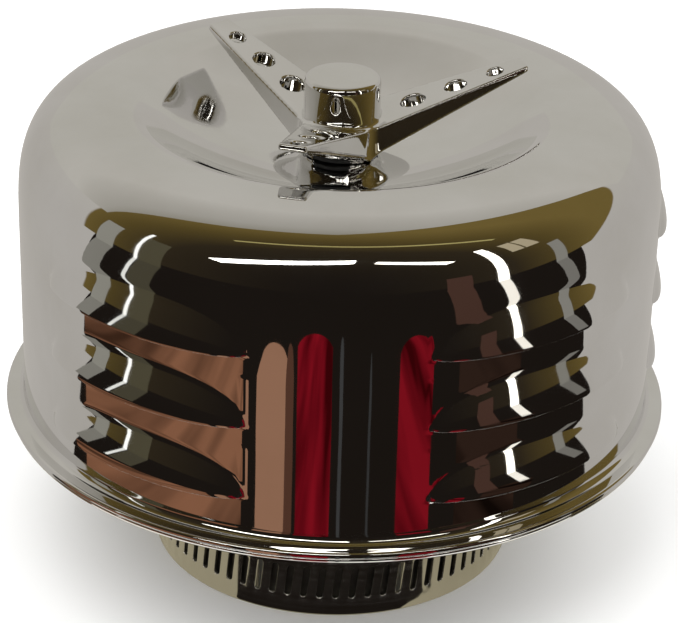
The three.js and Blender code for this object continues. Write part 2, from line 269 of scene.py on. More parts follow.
def surface_net(field, low, high, cell):
    """A smooth quad mesh of field(x, y, z) = 0, as points and faces, in millimetres."""
    axes = [np.arange(a - cell, b + 2 * cell, cell) for a, b in zip(low, high)]
    x, y, z = np.meshgrid(*axes, indexing="ij")
    value = field(x, y, z)
    inside = value < 0
    shape = np.array(inside.shape) - 1
    total = np.zeros((*shape, 3))
    count = np.zeros(shape)
    corner = np.stack([x, y, z], -1)
    for axis in range(3):
        for a in (0, 1):
            for b in (0, 1):
                picks = [slice(0, -1)] * 3
                others = [i for i in range(3) if i != axis]
                picks[others[0]] = slice(a, a + shape[others[0]])
                picks[others[1]] = slice(b, b + shape[others[1]])
                ends = list(picks)
                ends[axis] = slice(1, None)
                p, q = tuple(picks), tuple(ends)
                crosses = inside[p] != inside[q]
                span = np.where(crosses, value[p] - value[q], 1.0)
                t = np.where(crosses, value[p] / span, 0.0)[..., None]
                total += crosses[..., None] * (corner[p] * (1 - t) + corner[q] * t)
                count += crosses
    active = count > 0
    index = np.full(shape, -1)
    index[active] = np.arange(active.sum())
    points = total[active] / count[active][:, None]
    faces = []
    for axis in range(3):
        u, v = [i for i in range(3) if i != axis]
        first = [slice(1, -1)] * 3
        second = [slice(1, -1)] * 3
        first[axis] = slice(0, -1)
        second[axis] = slice(1, None)
        starts = inside[tuple(first)]
        ends = inside[tuple(second)]
        cells = np.argwhere(starts != ends)
        outwards = starts[starts != ends]
        base = cells + 1
        base[:, axis] -= 1
        loops = []
        for du, dv in ((0, 0), (-1, 0), (-1, -1), (0, -1)):
            place = base.copy()
            place[:, u] += du
            place[:, v] += dv
            loops.append(index[tuple(place.T)])
        quads = np.stack(loops, -1)
        flip = outwards if axis == 1 else ~outwards
        quads[flip] = quads[flip][:, ::-1]
        faces.append(quads)
    faces = np.concatenate(faces)
    step = cell * 0.05
    for _ in range(4):
        px, py, pz = points.T
        here = field(px, py, pz)
        slope = np.stack([
            field(px + step, py, pz) - field(px - step, py, pz),
            field(px, py + step, pz) - field(px, py - step, pz),
            field(px, py, pz + step) - field(px, py, pz - step),
        ], -1) / (2 * step)
        size = np.maximum((slope**2).sum(-1), 0.05)
        move = slope * (here / size)[:, None]
        length = np.linalg.norm(move, axis=-1, keepdims=True)
        points = points - move * np.minimum(1, 0.5 * cell / np.maximum(length, 1e-9))
    return points, faces[(faces >= 0).all(1)]


def smoothstep(t):
    t = np.clip(t, 0, 1)
    return t * t * (3 - 2 * t)


# ---- materials ---------------------------------------------------------------------------------
def color_ramp(nodes, links, source, stops):
    """A ramp fed by source, with colours or grey values at positions from 0 to 1."""
    node = nodes.new("ShaderNodeValToRGB")
    elements = node.color_ramp.elements
    while len(elements) < len(stops):
        elements.new(0.5)
    for element, (position, value) in zip(elements, stops):
        element.position = position
        color = value if isinstance(value, tuple) else (value,) * 3
        element.color = (*color, 1)
    links.new(source, node.inputs["Fac"])
    return node.outputs["Color"]


class Material:
    """A procedural Principled material and a few helpers to wire it."""

    def __init__(self, name, color, roughness, metallic):
        self.material = bpy.data.materials.new(name)
        self.material.use_nodes = True
        self.nodes = self.material.node_tree.nodes
        self.links = self.material.node_tree.links
        self.shader = self.nodes["Principled BSDF"]
        self.shader.inputs["Base Color"].default_value = (*color, 1)
        self.shader.inputs["Roughness"].default_value = roughness
        self.shader.inputs["Metallic"].default_value = metallic
        self.place = self.nodes.new("ShaderNodeTexCoord").outputs["Object"]

    def noise(self, scale, detail=3.0, stretch=(1, 1, 1), rough=0.55):
        mapping = self.nodes.new("ShaderNodeMapping")
        mapping.inputs["Scale"].default_value = stretch
        self.links.new(self.place, mapping.inputs["Vector"])
        noise = self.nodes.new("ShaderNodeTexNoise")
        noise.inputs["Scale"].default_value = scale
        noise.inputs["Detail"].default_value = detail
        noise.inputs["Roughness"].default_value = rough
        self.links.new(mapping.outputs["Vector"], noise.inputs["Vector"])
        return noise.outputs["Fac"]

    def ramp(self, source, stops):
        return color_ramp(self.nodes, self.links, source, stops)

    def math(self, operation, a, b):
        node = self.nodes.new("ShaderNodeMath")
        node.operation = operation
        for socket, value in zip(node.inputs, (a, b)):
            if isinstance(value, (int, float)):
                socket.default_value = value
            else:
                self.links.new(value, socket)
        return node.outputs[0]

    def bump(self, height, strength, distance, below=None):
        node = self.nodes.new("ShaderNodeBump")
        node.inputs["Strength"].default_value = strength
        node.inputs["Distance"].default_value = distance
        self.links.new(height, node.inputs["Height"])
        if below:
            self.links.new(below, node.inputs["Normal"])
        self.links.new(node.outputs["Normal"], self.shader.inputs["Normal"])
        return node.outputs["Normal"]

    def feed(self, socket, source):
        self.links.new(source, self.shader.inputs[socket])


def chrome():
    """Mirror plate: faint waves of the pressed sheet, hairline scratches and a thin haze."""
    m = Material("chrome", (0.78, 0.78, 0.79), 0.04, 1.0)
    haze = m.noise(38, 5)
    scratch = m.noise(420, 2, (1, 1, 0.06))
    film = m.math("ADD", m.math("MULTIPLY", haze, 0.7), m.math("MULTIPLY", scratch, 0.3))
    m.feed("Roughness", m.ramp(film, [(0.42, 0.018), (0.62, 0.05), (0.8, 0.11)]))
    m.feed("Base Color", m.ramp(haze, [(0.35, (0.80, 0.80, 0.805)), (0.75, (0.72, 0.715, 0.70))]))
    waves = m.bump(m.noise(55, 1), 0.25, 0.00012)
    m.bump(m.noise(900, 2, (1, 1, 0.15)), 0.04, 0.00002, waves)
    return m.material


def shaded_neck_steel():
    """The tube under the clamp: dull plate, darkened and mottled with painted shade for the shadow it
    sits in behind the band's slots.
    """
    m = Material("shaded_neck_steel", (0.12, 0.11, 0.10), 0.4, 1.0)
    shade_mottle = m.noise(120, 5)
    # painted shade: the dark, mottled base colour stands in for the shadow behind the clamp band
    m.feed("Base Color", m.ramp(shade_mottle, [(0.3, (0.16, 0.15, 0.13)), (0.7, (0.07, 0.065, 0.055))]))
    m.feed("Roughness", m.ramp(shade_mottle, [(0.3, 0.3), (0.7, 0.5)]))
    m.bump(m.noise(800, 3), 0.1, 0.00003)
    return m.material


def stainless():
    """Bright rolled strip with lengthwise rolling marks."""
    m = Material("stainless", (0.66, 0.65, 0.62), 0.16, 1.0)
    marks = m.noise(260, 4, (0.12, 0.12, 5))
    m.feed("Roughness", m.ramp(marks, [(0.3, 0.10), (0.75, 0.28)]))
    tint = m.noise(45, 4)
    m.feed("Base Color", m.ramp(tint, [(0.3, (0.70, 0.69, 0.66)), (0.75, (0.56, 0.55, 0.52))]))
    m.bump(marks, 0.12, 0.00003)
    return m.material


def zinc():
    """Zinc plate, slightly spangled and dull."""
    m = Material("zinc_steel", (0.62, 0.63, 0.62), 0.3, 1.0)
    spangle = m.noise(170, 6)
    m.feed("Roughness", m.ramp(spangle, [(0.3, 0.22), (0.7, 0.42)]))
    tint = m.noise(60, 5)
    m.feed("Base Color", m.ramp(tint, [(0.3, (0.66, 0.67, 0.66)), (0.72, (0.50, 0.50, 0.47))]))
    m.bump(m.noise(900, 3), 0.1, 0.00003)
    return m.material


def filter_paper():
    """Resin-treated paper with a fibrous surface."""
    m = Material("filter_paper", (0.80, 0.60, 0.33), 0.85, 0.0)
    fibre = m.noise(700, 6, (1, 1, 0.5))
    m.feed("Base Color", m.ramp(fibre, [
        (0.25, (0.66, 0.46, 0.22)),
        (0.55, (0.80, 0.60, 0.33)),
        (0.8, (0.88, 0.72, 0.46)),
    ]))
    m.bump(fibre, 0.5, 0.00012)
    return m.material


def screen_wire():
    """Expanded metal, dull and slightly uneven."""
    m = Material("screen", (0.52, 0.53, 0.52), 0.38, 1.0)
    grey = m.noise(300, 4)
    m.feed("Roughness", m.ramp(grey, [(0.3, 0.28), (0.7, 0.5)]))
    m.feed("Base Color", m.ramp(grey, [(0.3, (0.58, 0.59, 0.58)), (0.7, (0.42, 0.42, 0.40))]))
    return m.material


def urethane():
    """Moulded red-brown urethane with a fine skin."""
    m = Material("urethane", (0.42, 0.07, 0.04), 0.55, 0.0)
    skin = m.noise(240, 5)
    m.feed("Base Color", m.ramp(skin, [(0.3, (0.36, 0.05, 0.03)), (0.7, (0.50, 0.10, 0.06))]))
    m.feed("Roughness", m.ramp(skin, [(0.3, 0.45), (0.7, 0.68)]))
    m.bump(m.noise(1500, 3), 0.3, 0.00005)
    return m.material


def rubber():
    """Black rubber with a faint bloom."""
    m = Material("rubber", (0.02, 0.02, 0.02), 0.7, 0.0)
    bloom = m.noise(300, 5)
    m.feed("Base Color", m.ramp(bloom, [(0.3, (0.015, 0.015, 0.015)), (0.75, (0.05, 0.05, 0.048))]))
    m.bump(m.noise(1200, 3), 0.3, 0.00005)
    return m.material


MATERIALS = {
    "chrome": chrome(),
    "stainless": stainless(),
    "zinc_steel": zinc(),
    "filter_paper": filter_paper(),
    "screen": screen_wire(),
    "urethane": urethane(),
    "rubber": rubber(),
}


def piece(obj, body, slot, *nodes):
    """Hands a finished object to the frame."""
    obj.data.materials.clear()
    obj.data.materials.append(MATERIALS[slot])
    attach(obj, body)
    if nodes:
        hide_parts(*nodes)
    return obj


# ---- cover -------------------------------------------------------------------------------------
def wall_rows():
    """Heights down the wall, doubled at each louvre's lip, and the row before each doubling."""
    stops = [SHOULDER_Z + 9.0, *LOUVRE_LIPS, FLANGE_TOP + FLANGE_FILLET]
    rows = []
    slits = []
    for top, bottom in zip(stops, stops[1:]):
        count = max(4, round((top - bottom) / 0.42))
        rows += list(np.linspace(top, bottom, count + 1))
        slits.append(len(rows) - 1)
    return np.array(rows), slits[:-1]


def shoulder_radius(height):
    """Outside radius of the wall and shoulder at a height."""
    v = np.clip((height - SHOULDER_Z) / (CREST_Z - SHOULDER_Z), 0, 1)
    return CREST_R + (WALL_R - CREST_R) * (1 - v**SHOULDER_POWER) ** (1 / SHOULDER_POWER)


def cover_profile():
    """The outside of the cover from the stud hole out to the flange's edge."""
    slope = math.degrees(RECESS_SLOPE)
    roll_end = (
        CREST_R - RECESS_ROLL * math.sin(RECESS_SLOPE),
        CREST_Z - RECESS_ROLL * (1 - math.cos(RECESS_SLOPE)),
    )
    drop = roll_end[1] - RECESS_Z - RECESS_BOWL * (1 - math.cos(RECESS_SLOPE))
    bowl_r = roll_end[0] - drop / math.tan(RECESS_SLOPE) - RECESS_BOWL * math.sin(RECESS_SLOPE)
    dish_floor = [(r, RECESS_Z) for r in np.linspace(3.6, bowl_r - 0.5, 12)]
    bowl = arc(bowl_r, RECESS_Z + RECESS_BOWL, RECESS_BOWL, -90, slope - 90, 22)
    roll = arc(CREST_R, CREST_Z - RECESS_ROLL, RECESS_ROLL, 90 + slope, 90, 16)
    t = np.linspace(0, 1, 34)[1:]
    wall, slits = wall_rows()
    top_v = ((wall[0] - SHOULDER_Z) / (CREST_Z - SHOULDER_Z)) ** SHOULDER_POWER
    angle_end = math.acos(math.sqrt(1 - top_v))
    angles = np.pi / 2 + (angle_end - np.pi / 2) * t
    power = 2 / SHOULDER_POWER
    shoulder = np.stack([
        CREST_R + (WALL_R - CREST_R) * np.cos(angles) ** power,
        SHOULDER_Z + (CREST_Z - SHOULDER_Z) * np.sin(angles) ** power,
    ], -1)
    upright = np.stack([shoulder_radius(wall), wall], -1)[1:]
    foot = arc(WALL_R + FLANGE_FILLET, FLANGE_TOP + FLANGE_FILLET, FLANGE_FILLET, 180, 270, 10)[1:]
    lip = arc(FLANGE_R - 0.55, FLANGE_TOP - 0.55, 0.55, 90, 0, 5)
    edge = [(FLANGE_R, cover_low[2] + 0.1)]
    parts = [dish_floor, bowl, roll, shoulder, upright, foot, lip, edge]
    before = sum(len(part) for part in parts[:4])
    return np.concatenate([np.asarray(part) for part in parts]), [before + s - 1 for s in slits]


def louvre_bulge(angles, height, bank, lip):
    """How far the sheet stands out of the wall for one louvre."""
    u = (np.degrees(angles)[:, None] - bank + 180) % 360 - 180
    u = np.abs(u / LOUVRE_HALF_ANGLE)
    v = (height - lip) / LOUVRE_HEIGHT
    inside = 1 - u**2.67
    outline = np.sqrt(np.clip(inside, 1e-4, None))
    slope = 1 - np.clip(v / outline, 0, 3) ** LOUVRE_ROUNDING
    bulge = LOUVRE_DEPTH * (outline * slope + 1.4 * np.minimum(inside, 0))
    return smooth_max(bulge, 0.0, 0.5)


def cover():
    profile, slits = cover_profile()

    def displace(angles, radius, height):
        columns = np.arange(len(profile))
        out = np.zeros_like(radius)
        sink = np.zeros_like(radius)
        for row, lip in zip(slits, LOUVRE_LIPS):
            above = (columns <= row) & (profile[:, 1] < lip + LOUVRE_HEIGHT + 2.0)
            below = columns == row + 1
            for bank in BANK_ANGLES:
                bulge = louvre_bulge(angles, height, bank, lip)
                opening = smoothstep((bulge - 0.25) / 0.35)
                out += bulge * (above & (profile[:, 1] > lip - 1e-6))
                out += bulge * (1 - opening) * below
                sink += 0.3 * opening * below
        return radius + out, height - sink

    obj = shell_of_revolution(
        "cover", profile, SHEET, COVER_COLUMNS, displace, set(slits), lip=0.28, side=1.0
    )
    return piece(obj, "cover", "chrome", "cover_shell")


# ---- base --------------------------------------------------------------------------------------
def base_pan():
    floor_z = pan_high[2]
    step = WALL_R - SHEET - 0.3
    rim = FLANGE_R - 0.4
    corners = [
        (35.0, floor_z - 1), (step - 1.4, floor_z - 1), (step - 1, floor_z - 1.5),
        (step - 1, pan_low[2] + 0.1), (rim - 0.9, pan_low[2] + 0.1), (rim - 0.5, pan_low[2]),
        (rim, pan_low[2] + 0.4), (rim, pan_low[2] + 1.1), (step, pan_low[2] + 1.1),
        (step, floor_z - 0.6), (step - 0.6, floor_z), (35.0, floor_z),
    ]
    obj = revolve("base_pan_sheet", rounded(corners, 0.35), 384)
    return piece(obj, "base", "chrome", "base_pan")


def neck():
    """The tube in the clamp, from its flange down the bore, with eight slits from below."""
    top = neck_high[2]
    bend = arc(NECK_BORE_R + NECK_BEND_R, top - NECK_BEND_R, NECK_BEND_R, 90, 180, 8)
    profile = [
        (40.2, top), (35.4, top), *bend,
        *[(NECK_BORE_R, z) for z in np.linspace(top - 3, 14, 12)],
        *[(NECK_BORE_R, z) for z in np.linspace(13, 0.05, 12)],
    ]

    def in_slit(angle, height):
        from_slit = math.degrees(angle) % 45 - 22.5
        return height < NECK_SLIT_TOP and abs(from_slit) < 1.25

    obj = shell_of_revolution("neck", profile, NECK_SHEET, 360, skip=in_slit)
    piece(obj, "base", "chrome", "neck_tube")
    # painted shade: this dark material stands in for the shadow behind the band's slots
    obj.data.materials[0] = shaded_neck_steel()


def rivet(side):
    low, high = node_box("bridge_rivet_" + side)
    x = (low[0] + high[0]) / 2
    head = high[2] - 1.6
    profile = [
        (0, low[2]), (1.9, low[2]), (2.45, low[2] + 0.3), (2.6, low[2] + 0.7), (2.55, low[2] + 1.1),
        (1.4, low[2] + 1.15), (1.4, head), (2.8, head + 0.05), (2.9, head + 0.25),
        *arc(0, head - 1.6, 3.2, 28, 90, 10),
    ]
    obj = revolve("rivet_" + side, profile, 48, closed=False)
    obj.data.transform(Matrix.Translation((x * MM, 0, 0)))
    return piece(obj, "base", "zinc_steel", "bridge_rivet_" + side)


def thread(radius, pitch, depth, length, start, columns=48, rows_per_turn=10):
    """Points and faces of a threaded rod along Z, with rounded roots and tapered ends."""
    rows = int(length / pitch * rows_per_turn) + 1
    angles = np.linspace(0, 2 * np.pi, columns, endpoint=False)
    heights = np.linspace(start, start + length, rows)
    phase = (heights[None, :] / pitch - angles[:, None] / (2 * np.pi)) % 1
    ridge = smoothstep(np.abs(phase - 0.5) * 2.4 - 0.1)
    ends = np.minimum(heights - start, start + length - heights)
    taper = np.clip(1 - ends / 0.8, 0, 1)[None, :] * depth
    r = np.minimum(radius - depth * (1 - ridge), radius - taper)
    points = np.stack([
        r * np.cos(angles)[:, None], r * np.sin(angles)[:, None],
        np.repeat(heights[None, :], columns, 0),
    ], -1).reshape(-1, 3)
    faces = []
    for i in range(columns):
        k = (i + 1) % columns
        for j in range(rows - 1):
            faces.append((i * rows + j, k * rows + j, k * rows + j + 1, i * rows + j + 1))
    faces.append([i * rows for i in range(columns)][::-1])
    faces.append([i * rows + rows - 1 for i in range(columns)])
    return points, faces


def stud():
    length = stud_high[2] - stud_low[2]
    obj = mesh_object("stud", *thread(STUD_R, THREAD_PITCH, THREAD_DEPTH, length, stud_low[2]))
    clean(obj, 60)
    return piece(obj, "base", "zinc_steel", "centre_stud")


def hex_nut(node):
    """A hexagon nut with chamfered corners and a countersunk hole."""
    low, high = node_box(node)
    half_flats = (high[1] - low[1]) / 2
    corner = half_flats * 2 / math.sqrt(3)
    washer_r = half_flats * 0.97
    angles = np.radians(np.arange(0, 360, 3.0))
    flats = half_flats / np.cos((angles + np.pi / 6) % (np.pi / 3) - np.pi / 6)
    rows = []
    for t in (0, 0.3, 0.6, 0.9):
        rows.append((np.minimum(flats, washer_r + t * 1.9), low[2] + t))
    for t in (0.9, 0.6, 0.3, 0):
        rows.append((np.minimum(flats, washer_r + t * 1.9), high[2] - t))
    hole = STUD_R + 0.15
    sink = 0.5
    for radius, z in (
        (hole + sink, high[2]),
        (hole, high[2] - sink),
        (hole, low[2] + sink),
        (hole + sink, low[2]),
    ):
        rows.append((np.full_like(angles, radius), z))
    points = [
        (r * math.cos(a), r * math.sin(a), z) for radii, z in rows for a, r in zip(angles, radii)
    ]
    n = len(angles)
    faces = []
    for j in range(len(rows)):
        k = (j + 1) % len(rows)
        for i in range(n):
            m = (i + 1) % n
            faces.append((j * n + i, j * n + m, k * n + m, k * n + i))
    obj = mesh_object(node.replace("stud_", "") + "_hex", points, faces)
    clean(obj, 25)
    return piece(obj, "base", "zinc_steel", node)


# ---- spinner nut -------------------------------------------------------------------------------
def spinner_field(x, y, z):
    """Signed distance of the cast spinner: hub and three holed wings in one blended body."""
    around = np.sqrt(x * x + y * y)
    hub_r = HUB_R + (HUB_BASE_R - HUB_R) * smoothstep((HUB_BOTTOM + 5 - z) / 5)
    hub = smooth_max(around - hub_r, z - HUB_TOP, 1.5)
    hub = smooth_max(hub, HUB_BOTTOM - z, 0.6)
    top = (HUB_BOTTOM + 5.8, HUB_TOP + 0.4)
    bottom = (HUB_BOTTOM + 0.4, HUB_TOP - 0.9)
    reach = WING_TIP_R - WING_ROOT_R
    top_slope = (top[1] - top[0]) / reach
    bottom_slope = (bottom[1] - bottom[0]) / reach
    side_slope = (WING_TIP_HALF_WIDTH - WING_ROOT_HALF_WIDTH) / reach
    tilt = math.atan(top_slope)
    body = hub
    for angle in WING_ANGLES:
        c, s = math.cos(math.radians(angle)), math.sin(math.radians(angle))
        along = x * c + y * s
        across = np.abs(-x * s + y * c)
        out = along - WING_ROOT_R
        over = (z - top[0] - top_slope * out) / math.hypot(1, top_slope)
        under = (bottom[0] + bottom_slope * out - z) / math.hypot(1, bottom_slope)
        side = (across - WING_ROOT_HALF_WIDTH - side_slope * out) / math.hypot(1, side_slope)
        upper = smooth_max(over, side, 0.45)
        lower = smooth_max(under, along - WING_TIP_R, 0.3)
        wing = smooth_max(upper, lower, 0.5)
        wing = smooth_max(wing, -along, 0.5)
        for distance, radius in WING_HOLES:
            height = top[0] + top_slope * (distance - WING_ROOT_R)
            flat = (along - distance) * math.cos(tilt) + (z - height) * math.sin(tilt)
            wing = smooth_max(wing, radius - np.hypot(flat, across), 0.35)
        body = smooth_min(body, wing, 1.3)
    bore = smooth_max(around - STUD_R - 0.2, z - HUB_TOP + 2.8, 0.4)
    return smooth_max(body, -bore, 0.4)


def spinner():
    low = (hub_low[0] - 1, hub_low[1] - 1, hub_low[2] - 1)
    high = (hub_high[0] + 1, hub_high[1] + 1, hub_high[2] + 1)
    obj = mesh_object("spinner", *surface_net(spinner_field, low, high, 0.36))
    clean(obj, 75)
    return piece(obj, "spinner", "chrome", "spinner_nut")


def seal_washer():
    low, high = node_box("seal_washer")
    corners = [(3.4, low[2]), (7, low[2]), (7, high[2]), (3.4, high[2])]
    obj = revolve("washer", rounded(corners, 0.3), 96)
    return piece(obj, "washer", "rubber", "seal_washer")


# ---- filter ------------------------------------------------------------------------------------
def filter_media():
    """Pleated paper with rounded folds."""
    per_pleat = 12
    count = PLEATS * per_pleat
    t = np.arange(count) / per_pleat
    wave = np.abs((t % 1) * 2 - 1)
    wave = np.clip((wave - 0.5) * 1.12, -0.5, 0.5)
    wave = np.sin(wave * np.pi) * 0.18 + wave * 0.82
    radius = PLEAT_MIDDLE_R + PLEAT_DEPTH * wave
    angles = 2 * np.pi * t / PLEATS
    ring = np.stack([radius * np.cos(angles), radius * np.sin(angles)], -1)
    heights = np.linspace(media_low[2], media_high[2], 9)
    points = [(x, y, z) for z in heights for x, y in ring]
    faces = []
    for j in range(len(heights) - 1):
        for i in range(count):
            k = (i + 1) % count
            faces.append((j * count + i, j * count + k, (j + 1) * count + k, (j + 1) * count + i))
    obj = mesh_object("pleats", points, faces)
    add_solidify(obj, PAPER, 0.0)
    apply_modifiers(obj)
    clean(obj, 50)
    return piece(obj, "filter", "filter_paper", "filter_media")


def expanded_screen(node, cells_round):
    """Expanded metal: staggered diamonds of thin strand rolled into a ring."""
    low, high = node_box(node)
    radius = high[0] - 0.4
    rows = 2 * round((high[2] - low[2]) / (2 * math.pi * radius / cells_round) * 1.8)
    angles = 2 * np.pi / cells_round
    points = []
    for j in range(rows + 1):
        for i in range(cells_round):
            a = (i + 0.5 * (j % 2)) * angles
            z = low[2] + 0.4 + (high[2] - low[2] - 0.8) * j / rows
            points.append((radius * math.cos(a), radius * math.sin(a), z))
    n = cells_round
    faces = []
    for j in range(1, rows):
        for i in range(n):
            between = (i + j % 2) % n
            beside = (i + 1) % n
            faces.append(
                (j * n + i, (j - 1) * n + between, j * n + beside, (j + 1) * n + between)
            )
    obj = mesh_object(node.replace("filter_", "") + "_mesh", points, faces)
    modifier = obj.modifiers.new("strand", "WIREFRAME")
    modifier.thickness = 0.62 * MM
    modifier.use_even_offset = False
    apply_modifiers(obj)
    clean(obj, 60)
    return piece(obj, "filter", "screen", node)


def end_seal(which):
    node = "filter_" + which + "_seal"
    low, high = node_box(node)
    outer = high[0]
    corners = [
        (40.6, low[2]), (outer - 1.2, low[2]), (outer, low[2] + 1.4), (outer, high[2] - 1.4),
        (outer - 1.2, high[2]), (50.4, high[2]), (49.6, high[2] - 0.6), (45.6, high[2] - 0.6),
        (44.8, high[2]), (40.6, high[2]),
    ]
    if which == "bottom":
        corners = [(r, low[2] + high[2] - z) for r, z in corners]
    obj = revolve(which + "_seal", rounded(corners, 0.9), 192)
    return piece(obj, "filter", "urethane", node)


# ---- hose clamp --------------------------------------------------------------------------------
def clamp_band():
    """A slotted strip wound once round the neck, its tail lapping over its start."""
    start, turn = math.radians(70), math.radians(405)
    pitch = 2 * math.pi / BAND_SLOTS
    cells = int(turn / pitch)
    low, high = band_low[2], band_high[2]
    middle = (low + high) / 2
    lean = math.tan(math.radians(6))
    slot_half_width = math.radians(0.98)
    slot_half_height = 3.35
    hole_angles = np.linspace(0, 2 * np.pi, 24, endpoint=False)
    points = []
    faces = []
    for cell in range(cells):
        centre = start + (cell + 0.5) * pitch
        frame_points = []
        hole_points = []
        for a in hole_angles:
            c, s = math.cos(a), math.sin(a)
            cap = slot_half_width * BAND_R
            straight = slot_half_height - cap
            across = cap * c
            up = cap * s + math.copysign(straight, s) if abs(s) > 1e-9 else 0.0
            hole_points.append((centre + (across + up * lean) / BAND_R, middle + up))
            reach = max(abs(c), abs(s))
            box_x = c / reach * pitch / 2
            box_z = s / reach * (high - low) / 2
            frame_points.append((centre + box_x, middle + box_z))
        base = len(points)
        points += frame_points + hole_points
        n = len(hole_angles)
        for i in range(n):
            k = (i + 1) % n
            faces.append((base + i, base + k, base + n + k, base + n + i))
    placed = []
    for angle, z in points:
        t = (angle - start) / turn
        lap = float(smoothstep((t - 0.72) / 0.14)) * (BAND_SHEET + 0.3)
        radius = BAND_R + BAND_SHEET / 2 + lap
        placed.append((radius * math.cos(angle), radius * math.sin(angle), z))
    obj = mesh_object("band", placed, faces)
    clean(obj, 60)
    add_solidify(obj, BAND_SHEET, 0.0)
    add_bevel(obj, 0.12, 2, 50)
    apply_modifiers(obj)
    clean(obj, 50)
    return piece(obj, "base", "stainless", "clamp_band")


def clamp_housing():
    """The arch over the worm screw, rolled from sheet, with feet on the band."""
    low, high = node_box("clamp_housing")
    screw_low, screw_high = node_box("clamp_screw")
    centre_y = (screw_low[1] + screw_high[1]) / 2
    centre_z = (low[2] + high[2]) / 2
    foot_y = low[1] + 0.45
    arch = 5.2
    line = [(foot_y, -6.9), (foot_y, -5.9), (foot_y + 0.3, -5.3)]
    for a in np.linspace(0, np.pi, 25):
        line.append((centre_y + arch * math.sin(a), -arch * math.cos(a)))
    line += [(foot_y + 0.3, 5.3), (foot_y, 5.9), (foot_y, 6.9)]
    xs = np.linspace(low[0] + 0.2, high[0] - 0.2, 9)
    points = [(x, y, centre_z + z) for x in xs for y, z in line]
    n = len(line)
    faces = []
    for i in range(len(xs) - 1):
        for j in range(n - 1):
            faces.append((i * n + j, i * n + j + 1, (i + 1) * n + j + 1, (i + 1) * n + j))
    obj = mesh_object("housing", points, faces)
    add_solidify(obj, 0.9, 0.0)
    add_bevel(obj, 0.2, 2, 50)
    apply_modifiers(obj)
    clean(obj, 50)
    return piece(obj, "base", "stainless", "clamp_housing")


def clamp_screw():
    """Worm screw with a slotted hexagon head, along X."""
    low, high = node_box("clamp_screw")
    centre_y, centre_z = (low[1] + high[1]) / 2, (low[2] + high[2]) / 2
    worm = mesh_object("screw_worm", *thread(4.05, 3.1, 0.9, 19.0, low[0], 40, 14))
    clean(worm, 60)

    def head_field(x, y, z):
        hexagon = np.maximum(np.abs(y), np.maximum(
            np.abs(0.5 * y + 0.866 * z), np.abs(-0.5 * y + 0.866 * z)))
        flats = 4.6 * math.cos(math.pi / 6)
        ends = np.maximum(x - high[0], high[0] - 5.0 - x)
        body = smooth_max(hexagon - flats, ends, 0.5)
        cone = (np.hypot(y, z) + (x - high[0]) * 1.0) * 0.7 - 2.9
        body = smooth_max(body, cone, 0.3)
        slot = np.maximum(np.abs(y) - 0.6, high[0] - 1.3 - x)
        return smooth_max(body, -slot, 0.25)

    points, faces = surface_net(head_field, (high[0] - 5.2, -5, -5), (high[0] + 0.2, 5, 5), 0.22)
    head = mesh_object("screw_head", points, faces)
    clean(head, 75)
    worm.data.transform(Matrix.Translation((0, 0, -low[0] * MM)))
    worm.data.transform(Matrix.Rotation(math.pi / 2, 4, "Y"))
    worm.data.transform(Matrix.Translation((low[0] * MM, 0, 0)))
    for obj in (worm, head):
        obj.data.transform(Matrix.Translation((0, centre_y * MM, centre_z * MM)))
    piece(worm, "screw", "zinc_steel", "clamp_screw")
    piece(head, "screw", "zinc_steel", "clamp_screw")


# ---- stage -------------------------------------------------------------------------------------
FLOOR_HALF = 9
TENT_TOP = (0.54, 0.515, 0.465)
TENT_LOW = (0.49, 0.465, 0.43)
ROOM_DARK = (0.012, 0.009, 0.007)
LAMP_WHITE = (1.0, 0.97, 0.9)
WINDOW_WHITE = (1.0, 0.95, 0.85)
LINE_WHITE = (1.0, 1.0, 0.95)
SIDE_TAN = (0.07, 0.035, 0.025)
CEILING_Z = 1.62


def emitter(name, color, strength, streaks=0.0):
    """A plain glow, or one broken up by soft dark streaks running away from the viewer."""
    material = bpy.data.materials.new(name)
    material.use_nodes = True
    nodes, links = material.node_tree.nodes, material.node_tree.links
    nodes.clear()
    emission = nodes.new("ShaderNodeEmission")
    emission.inputs["Color"].default_value = (*color, 1)
    emission.inputs["Strength"].default_value = strength
    if streaks:
        place = nodes.new("ShaderNodeTexCoord")
        mapping = nodes.new("ShaderNodeMapping")
        mapping.inputs["Scale"].default_value = (streaks, streaks * 0.12, streaks)
        noise = nodes.new("ShaderNodeTexNoise")
        noise.inputs["Scale"].default_value = 1.0
        noise.inputs["Detail"].default_value = 3.0
        links.new(place.outputs["Object"], mapping.inputs["Vector"])
        links.new(mapping.outputs["Vector"], noise.inputs["Vector"])
        dim = tuple(0.18 * part for part in color)
        streaked = color_ramp(nodes, links, noise.outputs["Fac"], [(0.36, dim), (0.56, color)])
        links.new(streaked, emission.inputs["Color"])
    output = nodes.new("ShaderNodeOutputMaterial")
    links.new(emission.outputs[0], output.inputs["Surface"])
    return material


def rectangle(half_x, half_y, height):
    """Corners of a level rectangle about the origin."""
    return [
        (-half_x, -half_y, height), (half_x, -half_y, height),
        (half_x, half_y, height), (-half_x, half_y, height),
    ]


def flat_object(name, corners):
    """A single face from corners in metres."""
    mesh = bpy.data.meshes.new(name)
    mesh.from_pydata(corners, [], [tuple(range(len(corners)))])
    obj = bpy.data.objects.new(name, mesh)
    bpy.context.scene.collection.objects.link(obj)
    return obj


def card(name, corners, color, strength=1.0, streaks=0.0):
    """A flat studio card that only shows in reflections."""
    obj = flat_object(name, corners)
    obj.data.materials.append(emitter(name, color, strength, streaks))
    obj.visible_camera = False
    obj.visible_diffuse = False
    obj.visible_shadow = False
    obj.visible_transmission = False
    return obj


def floor():
    obj = flat_object("floor", rectangle(FLOOR_HALF, FLOOR_HALF, 0))
    m = Material("floor", (0.86, 0.86, 0.855), 0.9, 0.0)
    obj.data.materials.append(m.material)


